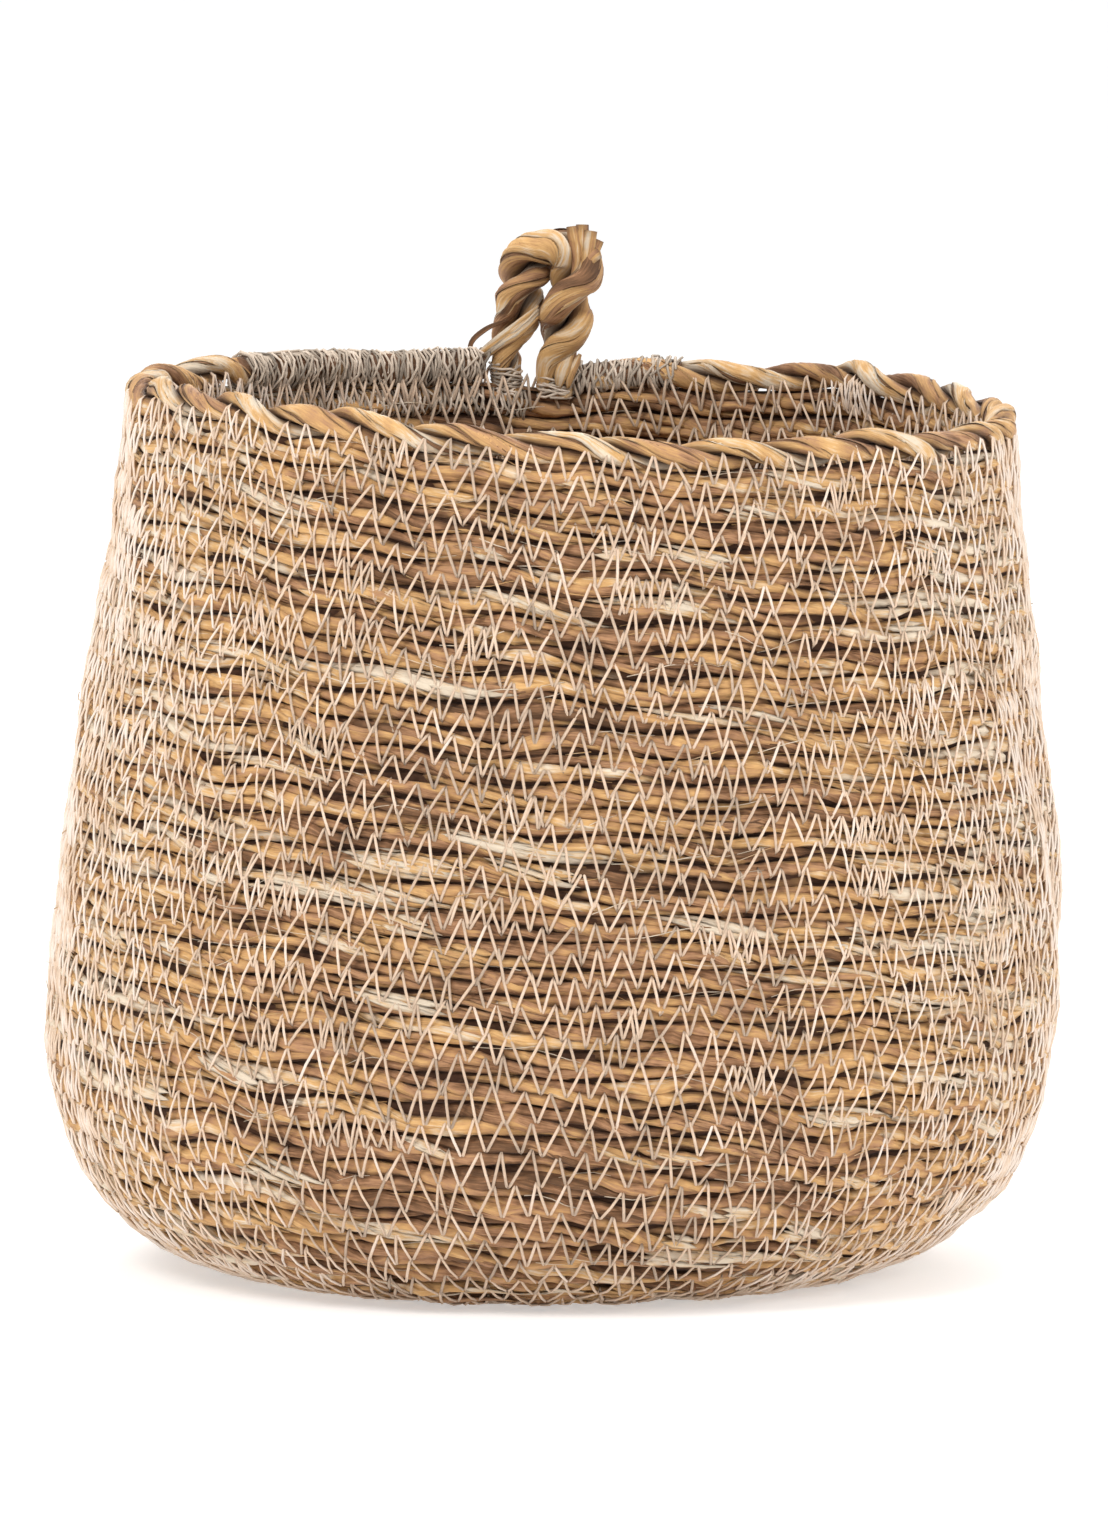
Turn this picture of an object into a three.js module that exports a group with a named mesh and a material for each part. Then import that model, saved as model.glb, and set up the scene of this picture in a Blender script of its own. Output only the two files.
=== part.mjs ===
// A round storage basket, coiled from one long grass rope that winds from the middle of the flat
// base up to the opening. A two-strand twist closes the rim, and a twisted loop stands on the back.
// The rope is spliced from lengths about as long as one turn: each length is one mesh.
// Millimetres, +Z up, the front is at -Y. The origin is on the floor, under the middle of the belly.

import * as THREE from 'three';

const TAU = Math.PI * 2;

// The wall: its centre line runs flat, turns up round the bottom corner and leans in to the rim
const ROPE_THICKNESS = 8.6;
const FLAT_RADIUS = 80;
const BELLY_RADIUS = 154.5;
const BELLY_HEIGHT = 90.8;
const RIM_RADIUS = 135.2;
const RIM_HEIGHT = 279;
const RIM_SLOPE = 0.03;
const TOP_LENGTH = 13;
// How far each end of the two curves keeps its direction
const FLOOR_PULL = 50;
const CORNER_PULL = 60;
const BELLY_PULL = 57;
const RIM_PULL = 59;

// The coil: turns are counted from the middle of the base, clockwise seen from above
const BASE_PITCH = 9.8;
const WALL_PITCH = 8.2;
const THINNING_START = 19;
const THINNING_END = 23;
const BASE_SPLICES = [0, 6, 8, 10];
const WALL_START = 10;
const WALL_TURNS = 33;
const LAST_TURN = WALL_START + WALL_TURNS - 1;
const TAPER_START = 0.62;
const TAPER_END = 0.97;
const TAPERED_SHARE = 0.15;

// The hand-made unevenness: the rim is low in front and on the right, and the basket leans right
const RIM_ARC = 390;
const TILT_RIGHT = -4.5;
const TILT_BACK = 4;
// Two places where the wall rises higher, as (angle, height), and how sharply
const SWELLS = [[TAU / 8, 4], [-3 * TAU / 8, 3]];
const SWELL_SHARPNESS = 12;
const LEAN = 0.03;

// The rim, in shares of one turn from the loop
const RIM_STRAND_RADIUS = 2.45;
const RIM_STRAND_OFFSET = 2.85;
const RIM_ROPE_RADIUS = RIM_STRAND_RADIUS + RIM_STRAND_OFFSET;
const RIM_TWISTS_PER_TURN = 15.5;
const RIM_FROM = 0.0135;
const RIM_TO = 0.853;
const END_WRAP_RADIUS = 5.8;
const END_WRAP_FROM = 0.8545;
const END_WRAP_TO = 0.9665;
const SHORT_WRAP_FROM = 0.0042;
const SHORT_WRAP_TO = 0.0125;
const WRAP_END_SHARE = 0.8;

// The hanging loop: two twisted strands on two bound roots, on one axis along X
const LOOP_AXIS_Y = 134.7;
const LOOP_AXIS_Z = 276;
const LOOP_LEFT_X = -15.2;
const LOOP_RIGHT_X = 0.2;
const ROOT_RADIUS = 6;
const LOOP_STRAND_RADIUS = 2.75;
const LOOP_STRAND_OFFSET = 3.2;
const LOOP_TWISTS = 2.1;
const LOOP_ROUTE = [
  [-16.2, 1.2, 8.6],
  [-13.2, 2.2, 14],
  [-12, 3, 20],
  [-11, 3, 26.6],
  [-7, 2, 32.4],
  [-0.8, 0.5, 36.6],
  [4.8, -1, 36],
  [8.5, -2.4, 31.6],
  [7, -3, 25.6],
  [5.8, -3, 19.6],
  [5.6, -2.2, 14],
  [2.8, -1, 8.6],
];
const TAIL_RADIUS = 2.2;
const TAIL_TIP_SHARE = 0.8;
const TAIL_LENGTH = 4;
const TAIL_PLACES = [0.6, 0.68];

// Meshing
const GAP = 0.3;
const STEPS_PER_TURN = 20;
const STEPS_PER_RIM_TWIST = 8;
const STRAND_SIDES = 6;
const WRAP_SIDES = 8;
const WRAP_STEPS = 12;
const LOOP_STEPS = 44;

const COLOURS = {
  grass: [0xb08c5c, 0xa67f4e, 0xb9956a, 0x9c774a],
  leaf: 0xc08f4e,
  paleLeaf: 0xd3c2a0,
  thread: 0xb9ae9c,
};

const basket = new THREE.Group();

function addMesh(name, geometry, colour) {
  const material = new THREE.MeshStandardMaterial({ color: colour, roughness: 0.85, metalness: 0 });
  const mesh = new THREE.Mesh(geometry, material);
  mesh.name = name;
  basket.add(mesh);
  return mesh;
}

function numbered(name, index) {
  return `${name}_${String(index).padStart(2, '0')}`;
}

// The rope's centre line, as (radius, height)
function makeProfile() {
  const floor = ROPE_THICKNESS / 2;
  const cornerLow = BELLY_HEIGHT - CORNER_PULL;
  const bellyHigh = BELLY_HEIGHT + BELLY_PULL;
  const rimLow = RIM_HEIGHT - RIM_PULL;
  const path = new THREE.Path();
  path.moveTo(0, floor);
  path.lineTo(FLAT_RADIUS, floor);
  path.bezierCurveTo(FLAT_RADIUS + FLOOR_PULL, floor, BELLY_RADIUS, cornerLow, BELLY_RADIUS, BELLY_HEIGHT);
  path.bezierCurveTo(
    BELLY_RADIUS, bellyHigh,
    RIM_RADIUS + RIM_SLOPE * RIM_PULL, rimLow,
    RIM_RADIUS, RIM_HEIGHT,
  );
  path.lineTo(RIM_RADIUS - RIM_SLOPE * TOP_LENGTH, RIM_HEIGHT + TOP_LENGTH);
  return path;
}

const profile = makeProfile();
const profileLength = profile.getLength();

function swell(angle) {
  const share = (place) => Math.max(0, Math.cos(angle - place)) ** SWELL_SHARPNESS;
  return SWELLS.reduce((sum, [place, height]) => sum + height * share(place), 0);
}

// A point of the wall: turn sets the direction, along is measured up the centre line from the
// middle of the base, and across is measured outwards from the centre line
function wallPoint(turn, along, across) {
  const angle = TAU / 4 - TAU * turn;
  const lift = Math.max(0, along - FLAT_RADIUS) / (RIM_ARC - FLAT_RADIUS);
  const tilt = lift * (TILT_RIGHT * Math.cos(angle) + TILT_BACK * Math.sin(angle));
  const share = (along + tilt + swell(angle) * lift ** 3) / profileLength;
  const point = profile.getPoint(share);
  const tangent = profile.getTangent(share);
  const radius = point.x + tangent.y * across;
  const height = point.y - tangent.x * across;
  const shift = LEAN * (height - BELLY_HEIGHT);
  return new THREE.Vector3(radius * Math.cos(angle) + shift, radius * Math.sin(angle), height);
}

// The rope's lower edge after a number of turns: the pitch falls from the base's to the wall's
function lowerEdge(turn) {
  const thinning = THINNING_END - THINNING_START;
  const inside = THREE.MathUtils.clamp(turn - THINNING_START, 0, thinning);
  const beyond = Math.max(0, turn - THINNING_END);
  const lost = (BASE_PITCH - WALL_PITCH) * (inside * inside / (2 * thinning) + beyond);
  return BASE_PITCH * turn - lost;
}

// The upper edge is the next turn's lower edge, until the last turn tapers out
function upperEdge(turn) {
  const taper = THREE.MathUtils.smoothstep(turn - LAST_TURN, TAPER_START, TAPER_END);
  const kept = 1 - (1 - TAPERED_SHARE) * taper;
  return lowerEdge(turn) + kept * (lowerEdge(turn + 1) - lowerEdge(turn));
}

function moveVertices(geometry, place) {
  const position = geometry.getAttribute('position');
  const vertex = new THREE.Vector3();
  for (let i = 0; i < position.count; i += 1) {
    vertex.fromBufferAttribute(position, i);
    const moved = place(vertex);
    position.setXYZ(i, moved.x, moved.y, moved.z);
  }
  geometry.computeVertexNormals();
  return geometry;
}

function polygon(radius, sides) {
  const points = [];
  for (let i = 0; i < sides; i += 1) {
    const angle = TAU * i / sides;
    points.push(new THREE.Vector2(radius * Math.cos(angle), radius * Math.sin(angle)));
  }
  return new THREE.Shape(points);
}

// The pressed rope's section: x is across the wall and y along it, each from -1 to 1
function ropeSection() {
  const flat = 0.5;
  const corners = [[1, -flat], [1, flat], [0, 1], [-1, flat], [-1, -flat], [0, -1]];
  return new THREE.Shape(corners.map(([x, y]) => new THREE.Vector2(x, y)));
}

// Half the gap between two rope lengths, as a share of the turn that they meet on
function halfGap(turn) {
  const radius = profile.getPoint((lowerEdge(turn) + BASE_PITCH / 2) / profileLength).x;
  return GAP / 2 / (TAU * radius);
}

// One length of the rope, from one turn count to another
function ropeLength(from, to) {
  const steps = (to - from) * STEPS_PER_TURN;
  const prism = new THREE.ExtrudeGeometry(ropeSection(), { depth: 1, steps, bevelEnabled: false });
  return moveVertices(prism, (vertex) => {
    const turn = THREE.MathUtils.lerp(from + halfGap(from), to - halfGap(to), vertex.z);
    const low = lowerEdge(turn) + GAP / 2;
    const high = upperEdge(turn) - GAP / 2;
    const along = THREE.MathUtils.lerp(low, high, (vertex.y + 1) / 2);
    return wallPoint(turn, along, vertex.x * ROPE_THICKNESS / 2);
  });
}

function addCoil() {
  for (let i = 1; i < BASE_SPLICES.length; i += 1) {
    const geometry = ropeLength(BASE_SPLICES[i - 1], BASE_SPLICES[i]);
    addMesh(numbered('base_coil', i), geometry, COLOURS.grass[i % COLOURS.grass.length]);
  }
  for (let i = 1; i <= WALL_TURNS; i += 1) {
    const start = WALL_START + i - 1;
    const geometry = ropeLength(start, start + 1);
    addMesh(numbered('wall_turn', i), geometry, COLOURS.grass[i % COLOURS.grass.length]);
  }
}

// A rope that lies on the coil's upper edge. Its offset function turns each vertex of the straight
// prism, whose z is its share of the way, into (across, along) from the rope's own centre
function topRope(section, from, to, steps, ropeRadius, offset) {
  const prism = new THREE.ExtrudeGeometry(section, { depth: 1, steps, bevelEnabled: false });
  return moveVertices(prism, (vertex) => {
    const turn = LAST_TURN + THREE.MathUtils.lerp(from, to, vertex.z);
    const local = offset(vertex);
    const along = upperEdge(turn) + GAP / 2 + ropeRadius + local.y;
    return wallPoint(turn, along, local.x);
  });
}

function rimStrand(phase) {
  const twists = (RIM_TO - RIM_FROM) * RIM_TWISTS_PER_TURN;
  const steps = Math.round(twists * STEPS_PER_RIM_TWIST);
  const section = polygon(RIM_STRAND_RADIUS, STRAND_SIDES);
  return topRope(section, RIM_FROM, RIM_TO, steps, RIM_ROPE_RADIUS, (vertex) => {
    const angle = phase + TAU * twists * vertex.z;
    const x = vertex.x + RIM_STRAND_OFFSET * Math.cos(angle);
    const y = vertex.y + RIM_STRAND_OFFSET * Math.sin(angle);
    return new THREE.Vector2(x, y);
  });
}

// A thread-wrapped stretch of the rim, a little thinner at both ends
function wrappedStretch(from, to, radius) {
  return topRope(polygon(radius, WRAP_SIDES), from, to, WRAP_STEPS, radius, (vertex) => {
    const swell = Math.sqrt(Math.sin(Math.PI * vertex.z));
    const size = THREE.MathUtils.lerp(WRAP_END_SHARE, 1, swell);
    return new THREE.Vector2(vertex.x * size, vertex.y * size);
  });
}

function addRim() {
  addMesh('rim_strand_leaf', rimStrand(0), COLOURS.leaf);
  addMesh('rim_strand_pale', rimStrand(Math.PI), COLOURS.paleLeaf);
  addMesh('rim_end_wrap', wrappedStretch(END_WRAP_FROM, END_WRAP_TO, END_WRAP_RADIUS), COLOURS.thread);
  const shortWrap = wrappedStretch(SHORT_WRAP_FROM, SHORT_WRAP_TO, RIM_ROPE_RADIUS);
  addMesh('rim_start_wrap', shortWrap, COLOURS.thread);
}

// One strand of a two-strand twist round a centre line that lies about in the XZ plane
class TwistedStrand extends THREE.Curve {
  constructor(centreLine, phase) {
    super();
    this.centreLine = centreLine;
    this.phase = phase;
  }

  getPoint(share) {
    const angle = this.phase + TAU * LOOP_TWISTS * share;
    const depth = new THREE.Vector3(0, 1, 0);
    const outward = new THREE.Vector3().crossVectors(this.centreLine.getTangentAt(share), depth);
    const point = this.centreLine.getPointAt(share);
    point.addScaledVector(depth, LOOP_STRAND_OFFSET * Math.cos(angle));
    point.addScaledVector(outward.normalize(), LOOP_STRAND_OFFSET * Math.sin(angle));
    return point;
  }
}

function loopCentreLine() {
  const points = LOOP_ROUTE.map(([x, depth, height]) => {
    return new THREE.Vector3(x, LOOP_AXIS_Y + depth, LOOP_AXIS_Z + height);
  });
  return new THREE.CatmullRomCurve3(points);
}

function loopStrand(centreLine, phase) {
  const extrudePath = new TwistedStrand(centreLine, phase);
  const section = polygon(LOOP_STRAND_RADIUS, STRAND_SIDES);
  return new THREE.ExtrudeGeometry(section, { extrudePath, steps: LOOP_STEPS, bevelEnabled: false });
}

// A strand's cut end, standing out of the top of the loop
function addTail(name, centreLine, share) {
  const outward = centreLine.getTangentAt(share).cross(new THREE.Vector3(0, 1, 0)).normalize();
  const ropeRadius = LOOP_STRAND_RADIUS + LOOP_STRAND_OFFSET;
  const distance = ropeRadius + GAP + TAIL_LENGTH / 2;
  const tipRadius = TAIL_RADIUS * TAIL_TIP_SHARE;
  const tail = new THREE.CylinderGeometry(tipRadius, TAIL_RADIUS, TAIL_LENGTH, STRAND_SIDES);
  const mesh = addMesh(name, tail, COLOURS.leaf);
  mesh.position.copy(centreLine.getPointAt(share)).addScaledVector(outward, distance);
  mesh.quaternion.setFromUnitVectors(new THREE.Vector3(0, 1, 0), outward);
}

function addRoot(name, x) {
  const ball = new THREE.SphereGeometry(ROOT_RADIUS, 2 * STRAND_SIDES, WRAP_SIDES);
  const root = addMesh(name, ball, COLOURS.thread);
  root.position.set(x, LOOP_AXIS_Y, LOOP_AXIS_Z);
}

function addLoop() {
  const centreLine = loopCentreLine();
  addMesh('loop_strand_leaf', loopStrand(centreLine, 0), COLOURS.leaf);
  addMesh('loop_strand_pale', loopStrand(centreLine, Math.PI), COLOURS.paleLeaf);
  addRoot('loop_root_left', LOOP_LEFT_X);
  addRoot('loop_root_right', LOOP_RIGHT_X);
  TAIL_PLACES.forEach((share, i) => addTail(numbered('loop_tail', i + 1), centreLine, share));
}

addCoil();
addRim();
addLoop();

export default basket;
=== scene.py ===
"""A coiled grass-rope basket: the looks on top of its CAD frame.

The wall is one long rope of grass stems, wound in a coil and joined by a sewing machine's zigzag.
Each CAD length of the rope is replaced by its bundle of stems, husks and leaves, and each row of
zigzag is a real thread, outside and inside. Working sizes are in millimetres, and a piece is turned
into metres when its mesh is made.
"""
import math

import bpy
import numpy as np
from bpy.props import FloatProperty, FloatVectorProperty, IntProperty, PointerProperty
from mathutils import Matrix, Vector


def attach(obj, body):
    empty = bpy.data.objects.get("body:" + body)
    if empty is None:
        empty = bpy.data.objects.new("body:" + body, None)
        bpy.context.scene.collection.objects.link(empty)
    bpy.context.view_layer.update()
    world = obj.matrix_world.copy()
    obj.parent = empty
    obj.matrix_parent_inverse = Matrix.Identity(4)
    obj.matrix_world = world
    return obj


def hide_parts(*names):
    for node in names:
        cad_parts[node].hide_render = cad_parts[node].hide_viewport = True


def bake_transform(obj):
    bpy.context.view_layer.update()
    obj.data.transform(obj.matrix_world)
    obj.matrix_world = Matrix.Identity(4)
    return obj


bl_info = {
    "name": "Coiled Grass Basket",
    "version": (1, 0, 0),
    "blender": (4, 5, 0),
    "location": "3D View > Sidebar > Basket",
    "description": "Builds a zigzag-stitched grass-rope basket with a twisted rim and a hanging loop",
    "category": "Add Mesh",
}

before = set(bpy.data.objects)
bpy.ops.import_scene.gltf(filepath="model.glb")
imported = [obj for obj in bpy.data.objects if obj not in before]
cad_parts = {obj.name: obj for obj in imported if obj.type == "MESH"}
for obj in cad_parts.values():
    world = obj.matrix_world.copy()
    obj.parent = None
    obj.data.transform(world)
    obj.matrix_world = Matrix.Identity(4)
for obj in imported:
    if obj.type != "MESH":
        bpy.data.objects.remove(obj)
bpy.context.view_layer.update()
MM = 0.001
TAU = 2 * math.pi

# The wall, as in the CAD frame: the rope's centre line runs flat, turns up and leans in to the rim
ROPE_THICKNESS = 8.6
FLAT_RADIUS = 80
BELLY_RADIUS = 154.5
BELLY_HEIGHT = 90.8
RIM_RADIUS = 135.2
RIM_HEIGHT = 279
RIM_SLOPE = 0.03
TOP_LENGTH = 13
FLOOR_PULL = 50
CORNER_PULL = 60
BELLY_PULL = 57
RIM_PULL = 59

# The coil: turns are counted from the middle of the base, clockwise seen from above
BASE_PITCH = 9.8
WALL_PITCH = 8.2
THINNING_START = 19
THINNING_END = 23
BASE_SPLICES = (0, 6, 8, 10)
WALL_START = 10
WALL_TURNS = 33
LAST_TURN = WALL_START + WALL_TURNS - 1
TAPER_START = 0.62
TAPER_END = 0.97
TAPERED_SHARE = 0.15

# The hand-made unevenness: a tilted rim, local rises as an angle and a height, and a lean
RIM_ARC = 390
TILT_RIGHT = -4.5
TILT_BACK = 4
SWELLS = ((TAU / 8, 4), (-3 * TAU / 8, 3))
SWELL_SHARPNESS = 12
LEAN = 0.03
ROUGHENING = 8
# Below this height, what would reach through the floor is pressed flat above it
FLOOR_SQUEEZE = 1.2

# The rim: its stretches are in shares of one turn from the loop
RIM_ROPE_RADIUS = 5.3
RIM_SINK = 0.5
RIM_TWISTS_PER_TURN = 15.5
RIM_FROM = 0.0095
RIM_TO = 0.859
END_WRAP_RADIUS = 5.8
END_WRAP = (0.8545, 0.9665)
SHORT_WRAP = (-0.0018, 0.0425)
ROW_WRAP = (-0.2, -0.015)
WRAP_SINK = 0.6
CORE_SINK = 0.7

# The hanging loop, from its fold axis: x, depth and height. It bends between two heights
LOOP_AXIS = (-7.5, 134.7, 276)
LOOP_TWISTS = 2.8
LOOP_START = 0.6
LOOP_ROUTE = (
    (-15.2, 0, -10), (-15.4, 0.4, 1), (-14.8, 1.2, 8.6), (-12, 2.2, 15), (-11.2, 3, 21),
    (-10.4, 3, 28), (-7.2, 2, 34.8), (-0.6, 0.5, 38.4), (5.2, -1, 36.8), (7.4, -2.4, 31.5),
    (5.3, -3, 25), (3.9, -3, 19), (3.8, -2.2, 13.6), (2.2, -1, 8.4), (0.8, -0.3, 1), (0.2, 0, -10),
)
# Where the cut ends of the twist stick out: x, depth, height and tone
LOOP_ENDS = (
    (6, -5.2, 45.5, 0.56), (9.2, -4.6, 46, 0.46), (12, -5.4, 44, 0.62), (14.2, -3.5, 41, 0.42),
    (14.4, -6, 37, 0.54),
)
# The flat striped leaf at the left foot: each stripe's shift to the right and tone
LOOP_STRIPES = ((-1.7, 0.8), (-0.6, 0.97), (0.6, 0.9), (1.8, 0.62))
# Loose leaves at the feet: route, width, thickness, tone and seed
LOOP_LEAVES = (
    (((-26, -1, 0), (-27, -1, 7), (-22, -2, 12), (-15, -2, 15)), 1.8, 0.7, 0.12, 6),
    (((1.5, -6, -7), (2.5, -7.2, -2), (5.5, -6, 5)), 4.6, 1.1, 0.8, 8),
    (((4.5, -5.6, -7), (5.5, -6.4, -2), (8.5, -4.5, 4)), 3.2, 1, 0.62, 9),
)
# The binding of each foot: the stretch of the loop's length and its radius
LOOP_FEET = ((0, 0.09, 4.9), (0.945, 1, 5.9))

# Strands of a twist: the distance of an oval's middle from the rope's, and its two half widths
RIM_OVAL = (2.75, (2.6, 3.3))
LOOP_OVAL = (3.2, (3.1, 4))
CORE_SIDES = 14
LEAF_SIDES = 12

# Stems: the distance between their rings, and in half ropes their reach from the rope's middle, their
# thickness and the core's half widths. A drift is a size, a wavelength and octaves, after any seed
STATION = 4.4
STEM_SIDES = 6
STEM_REACH = 0.61
REACH_DRIFT = (0.09, 31, 2)
STEM_SIZE = 0.43
SIZE_DRIFT = (0.09, 27, 2)
PLACE_DRIFTS = ((3, 0.5, 150, 3), (8, 0.22, 34, 2))
ROPE_CORE = (0.32, 1.1)
STEM_PIECES = 200
STEM_LENGTHS = (90, 420)
STEM_TONES = (0.18, 0.34, 0.46, 0.55, 0.66, 0.8)
STEM_ODDS = (0.12, 0.2, 0.28, 0.2, 0.14, 0.06)
SPLICE_LENGTH = 9
# How much painted sheen the left and right sides get, where the wall is seen at a grazing angle:
# paler stems, weaker painted shade in the gaps and paler thread
SIDE_SHEEN_PALING = 0.34
SIDE_SHEEN_CLEARING = 0.42
SIDE_SHEEN_ON_THREAD = 0.36

# Husks lie on the rope, and hairs stand off it
HUSK_SIDES = 6
HUSK_STATION = 3.5
HUSK_SPANS = ((14, 30), (30, 75))
HUSK_TONES = (0.98, 0.86, 0.66, 0.45)
HUSK_ODDS = (0.3, 0.26, 0.26, 0.18)
SHORTEST_STRIP = 8
HAIR_STATION = 4
BASE_HAIRS = 6
WALL_HAIRS = 34

# One leg of the zigzag: points along it, their lift off the rope and their change of tone, which is
# painted shade towards the ends, where the leg dives into the rope, and painted light where it stands
# highest
LEG_SHARES = (0, 0.1, 0.5, 0.9)
LEG_LIFTS = (-1.5, 0.12, 0.5, 0.12)
LEG_TONES = (-0.35, 0, 0.12, -0.1)
LEG_UNEVENNESS = (0.6, 1.4)
LEG_WOBBLE = 0.12
FIRST_SEWN_TURN = 2
RIM_SEAM_DEPTH = 0.6
RIM_SEWN = 0.97
# Patches of denser stitches: how many on a face, their length, and their leg and reach
PATCHES = (2, 6)
TOP_PATCHES = 4
PATCH_LENGTHS = (8, 26)
PATCH_LEG = 0.62
PATCH_REACH = 0.92

# Layers of a winding: pitch, slant and extra radius
WINDING_THREAD = 0.45
WINDING_STEPS = 9
RIM_LAYERS = ((1.7, 0.7, 0), (2.6, -1.1, 0.35), (4.2, 3.2, 0.7))
ROW_LAYERS = ((2.1, 0.8, 0), (3.7, -1.6, 0))
FOOT_LAYERS = ((1.3, 1.2), (2.2, -2))

# The studio, in metres and watts: name, place, size and power of each lamp
LAMPS = (
    ("key_light", (-1, -1.8, 1.7), 0.8, 30),
    ("fill_light", (1.5, -1.6, 1.1), 1, 13),
    ("top_light", (0, 0.1, 2.2), 1.4, 24),
    ("back_light", (0.4, 2.2, 1.3), 1.2, 12),
    ("left_light", (-1.7, 0.1, 0.5), 0.8, 3.2),
    ("right_light", (1.7, 0.1, 0.5), 0.8, 4.8),
)
LAMP_TARGET = (0, 0, 0.14)
FLOOR_SIZE = 24
FLOOR_SHIFT = 4
FLOOR_WHITE = 0.82
FLOOR_GLOW = 0.42
WORLD_LIGHT = 0.72
CAMERA_DISTANCE = 4.5
CAMERA_ELEVATION = 5.6
CAMERA_AIM = (0, 0, 0.1594)
CAMERA_LENS = 336
CAMERA_SENSOR = 36
CAMERA_REACH = 50


# ---------------------------------------------------------------- settings

def length(name, description, default):
    return FloatProperty(name=name, description=description, default=default, min=0, unit="LENGTH")


def colour(name, description, default):
    return FloatVectorProperty(
        name=name, description=description, default=default, size=3, min=0, max=1, subtype="COLOR"
    )


class BasketSizes(bpy.types.PropertyGroup):
    """What a user would change in the stems and the stitching."""

    stems: IntProperty(name="Stems", description="Stems round the rope's core", default=6, min=4, max=9)
    lay: length("Lay", "Length in which the stems turn once round the rope", 0.130)
    husks: IntProperty(name="Husks", description="Loose leaves on each turn", default=14, min=0)
    thread: length("Thread", "Thickness of the sewing thread", 0.00094)
    stitch: length("Stitch", "Length of one leg of the zigzag along the coil", 0.0039)
    zigzag: length("Zigzag", "Half the width of the zigzag", 0.0058)


class BasketColours(bpy.types.PropertyGroup):
    """The colours of the grass, the leaves and the thread."""

    # Painted shade: gap mixes this colour in deep between the stems, inside the twists and under the
    # windings
    shadow: colour("Gap", "Old dirt and shade deep between the stems", (0.050, 0.020, 0.010))
    brown: colour("Brown stem", "The darkest dry stems", (0.22, 0.108, 0.050))
    rust: colour("Rust stem", "The reddish brown stems", (0.40, 0.212, 0.110))
    tan: colour("Tan stem", "Most of the stems", (0.475, 0.262, 0.112))
    gold: colour("Golden stem", "The fresh, smooth stems", (0.62, 0.365, 0.145))
    pale: colour("Pale husk", "Dry husks", (0.70, 0.585, 0.445))
    thread: colour("Thread", "The sewing thread", (0.69, 0.515, 0.375))
    # Top of the thread ramps: painted sheen on the side zigzag, and the palest random tone of wound
    # thread
    pale_and_sheen_thread: colour("Bleached thread", "The thread on the worn sides", (0.76, 0.65, 0.56))
    wrapping: colour("Wrapping", "The closely wound thread", (0.60, 0.49, 0.385))


def sizes():
    return bpy.context.scene.basket_sizes


def colours():
    return bpy.context.scene.basket_colours


def darkened(shade, share):
    return tuple(share * value for value in shade)


# ---------------------------------------------------------------- the coil's geometry

def unit(vectors):
    return vectors / np.linalg.norm(vectors, axis=-1)[..., None]


def running_total(steps):
    return np.concatenate([[0], np.cumsum(steps)])


def bezier(a, b, c, d, count=400):
    t = np.linspace(0, 1, count)[:, None]
    a, b, c, d = (np.array(p, float) for p in (a, b, c, d))
    return (1 - t) ** 3 * a + 3 * (1 - t) ** 2 * t * b + 3 * (1 - t) * t * t * c + t ** 3 * d


def wall_profile():
    """The rope's centre line as arc length, radius, height and their slopes."""
    floor = ROPE_THICKNESS / 2
    corner = bezier(
        (FLAT_RADIUS, floor), (FLAT_RADIUS + FLOOR_PULL, floor),
        (BELLY_RADIUS, BELLY_HEIGHT - CORNER_PULL), (BELLY_RADIUS, BELLY_HEIGHT),
    )
    wall = bezier(
        (BELLY_RADIUS, BELLY_HEIGHT), (BELLY_RADIUS, BELLY_HEIGHT + BELLY_PULL),
        (RIM_RADIUS + RIM_SLOPE * RIM_PULL, RIM_HEIGHT - RIM_PULL), (RIM_RADIUS, RIM_HEIGHT),
    )
    top = [(RIM_RADIUS - RIM_SLOPE * TOP_LENGTH, RIM_HEIGHT + TOP_LENGTH)]
    line = np.concatenate([[(0, floor)], corner, wall[1:], top])
    arc = running_total(np.hypot(*np.diff(line, axis=0).T))
    even = np.linspace(0, arc[-1], 2000)
    radius = np.interp(even, arc, line[:, 0])
    height = np.interp(even, arc, line[:, 1])
    return even, radius, height, np.gradient(radius, even), np.gradient(height, even)


PROFILE = wall_profile()


def on_profile(along):
    return [np.interp(along, PROFILE[0], column) for column in PROFILE[1:]]


def ramp(x, low, high):
    t = np.clip((x - low) / (high - low), 0, 1)
    return t * t * (3 - 2 * t)


def lower_edge(turn):
    """The rope's lower edge after a number of turns."""
    thinning = THINNING_END - THINNING_START
    inside = np.clip(turn - THINNING_START, 0, thinning)
    beyond = np.maximum(0, turn - THINNING_END)
    return BASE_PITCH * turn - (BASE_PITCH - WALL_PITCH) * (inside ** 2 / (2 * thinning) + beyond)


def upper_edge(turn):
    """The next turn's lower edge, until the last turn tapers out."""
    kept = 1 - (1 - TAPERED_SHARE) * ramp(turn - LAST_TURN, TAPER_START, TAPER_END)
    return lower_edge(turn) + kept * (lower_edge(turn + 1) - lower_edge(turn))


def rope_middle(turn):
    return (lower_edge(turn) + upper_edge(turn)) / 2


def waves(seed, count, around, up, size):
    """Random waves over the wall: whole numbers of them go round it."""
    rng = np.random.default_rng(seed)
    return [
        (rng.integers(*around), TAU / rng.uniform(*up), rng.uniform(0, TAU), size / math.sqrt(count))
        for _ in range(count)
    ]


BULGES = waves(11, 14, (2, 26), (25, 160), 0.9)
SAGS = waves(12, 14, (2, 22), (40, 200), 1.1)


def unevenness(angle, along, kind):
    return sum(size * np.sin(m * angle + k * along + phase) for m, k, phase, size in kind)


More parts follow.
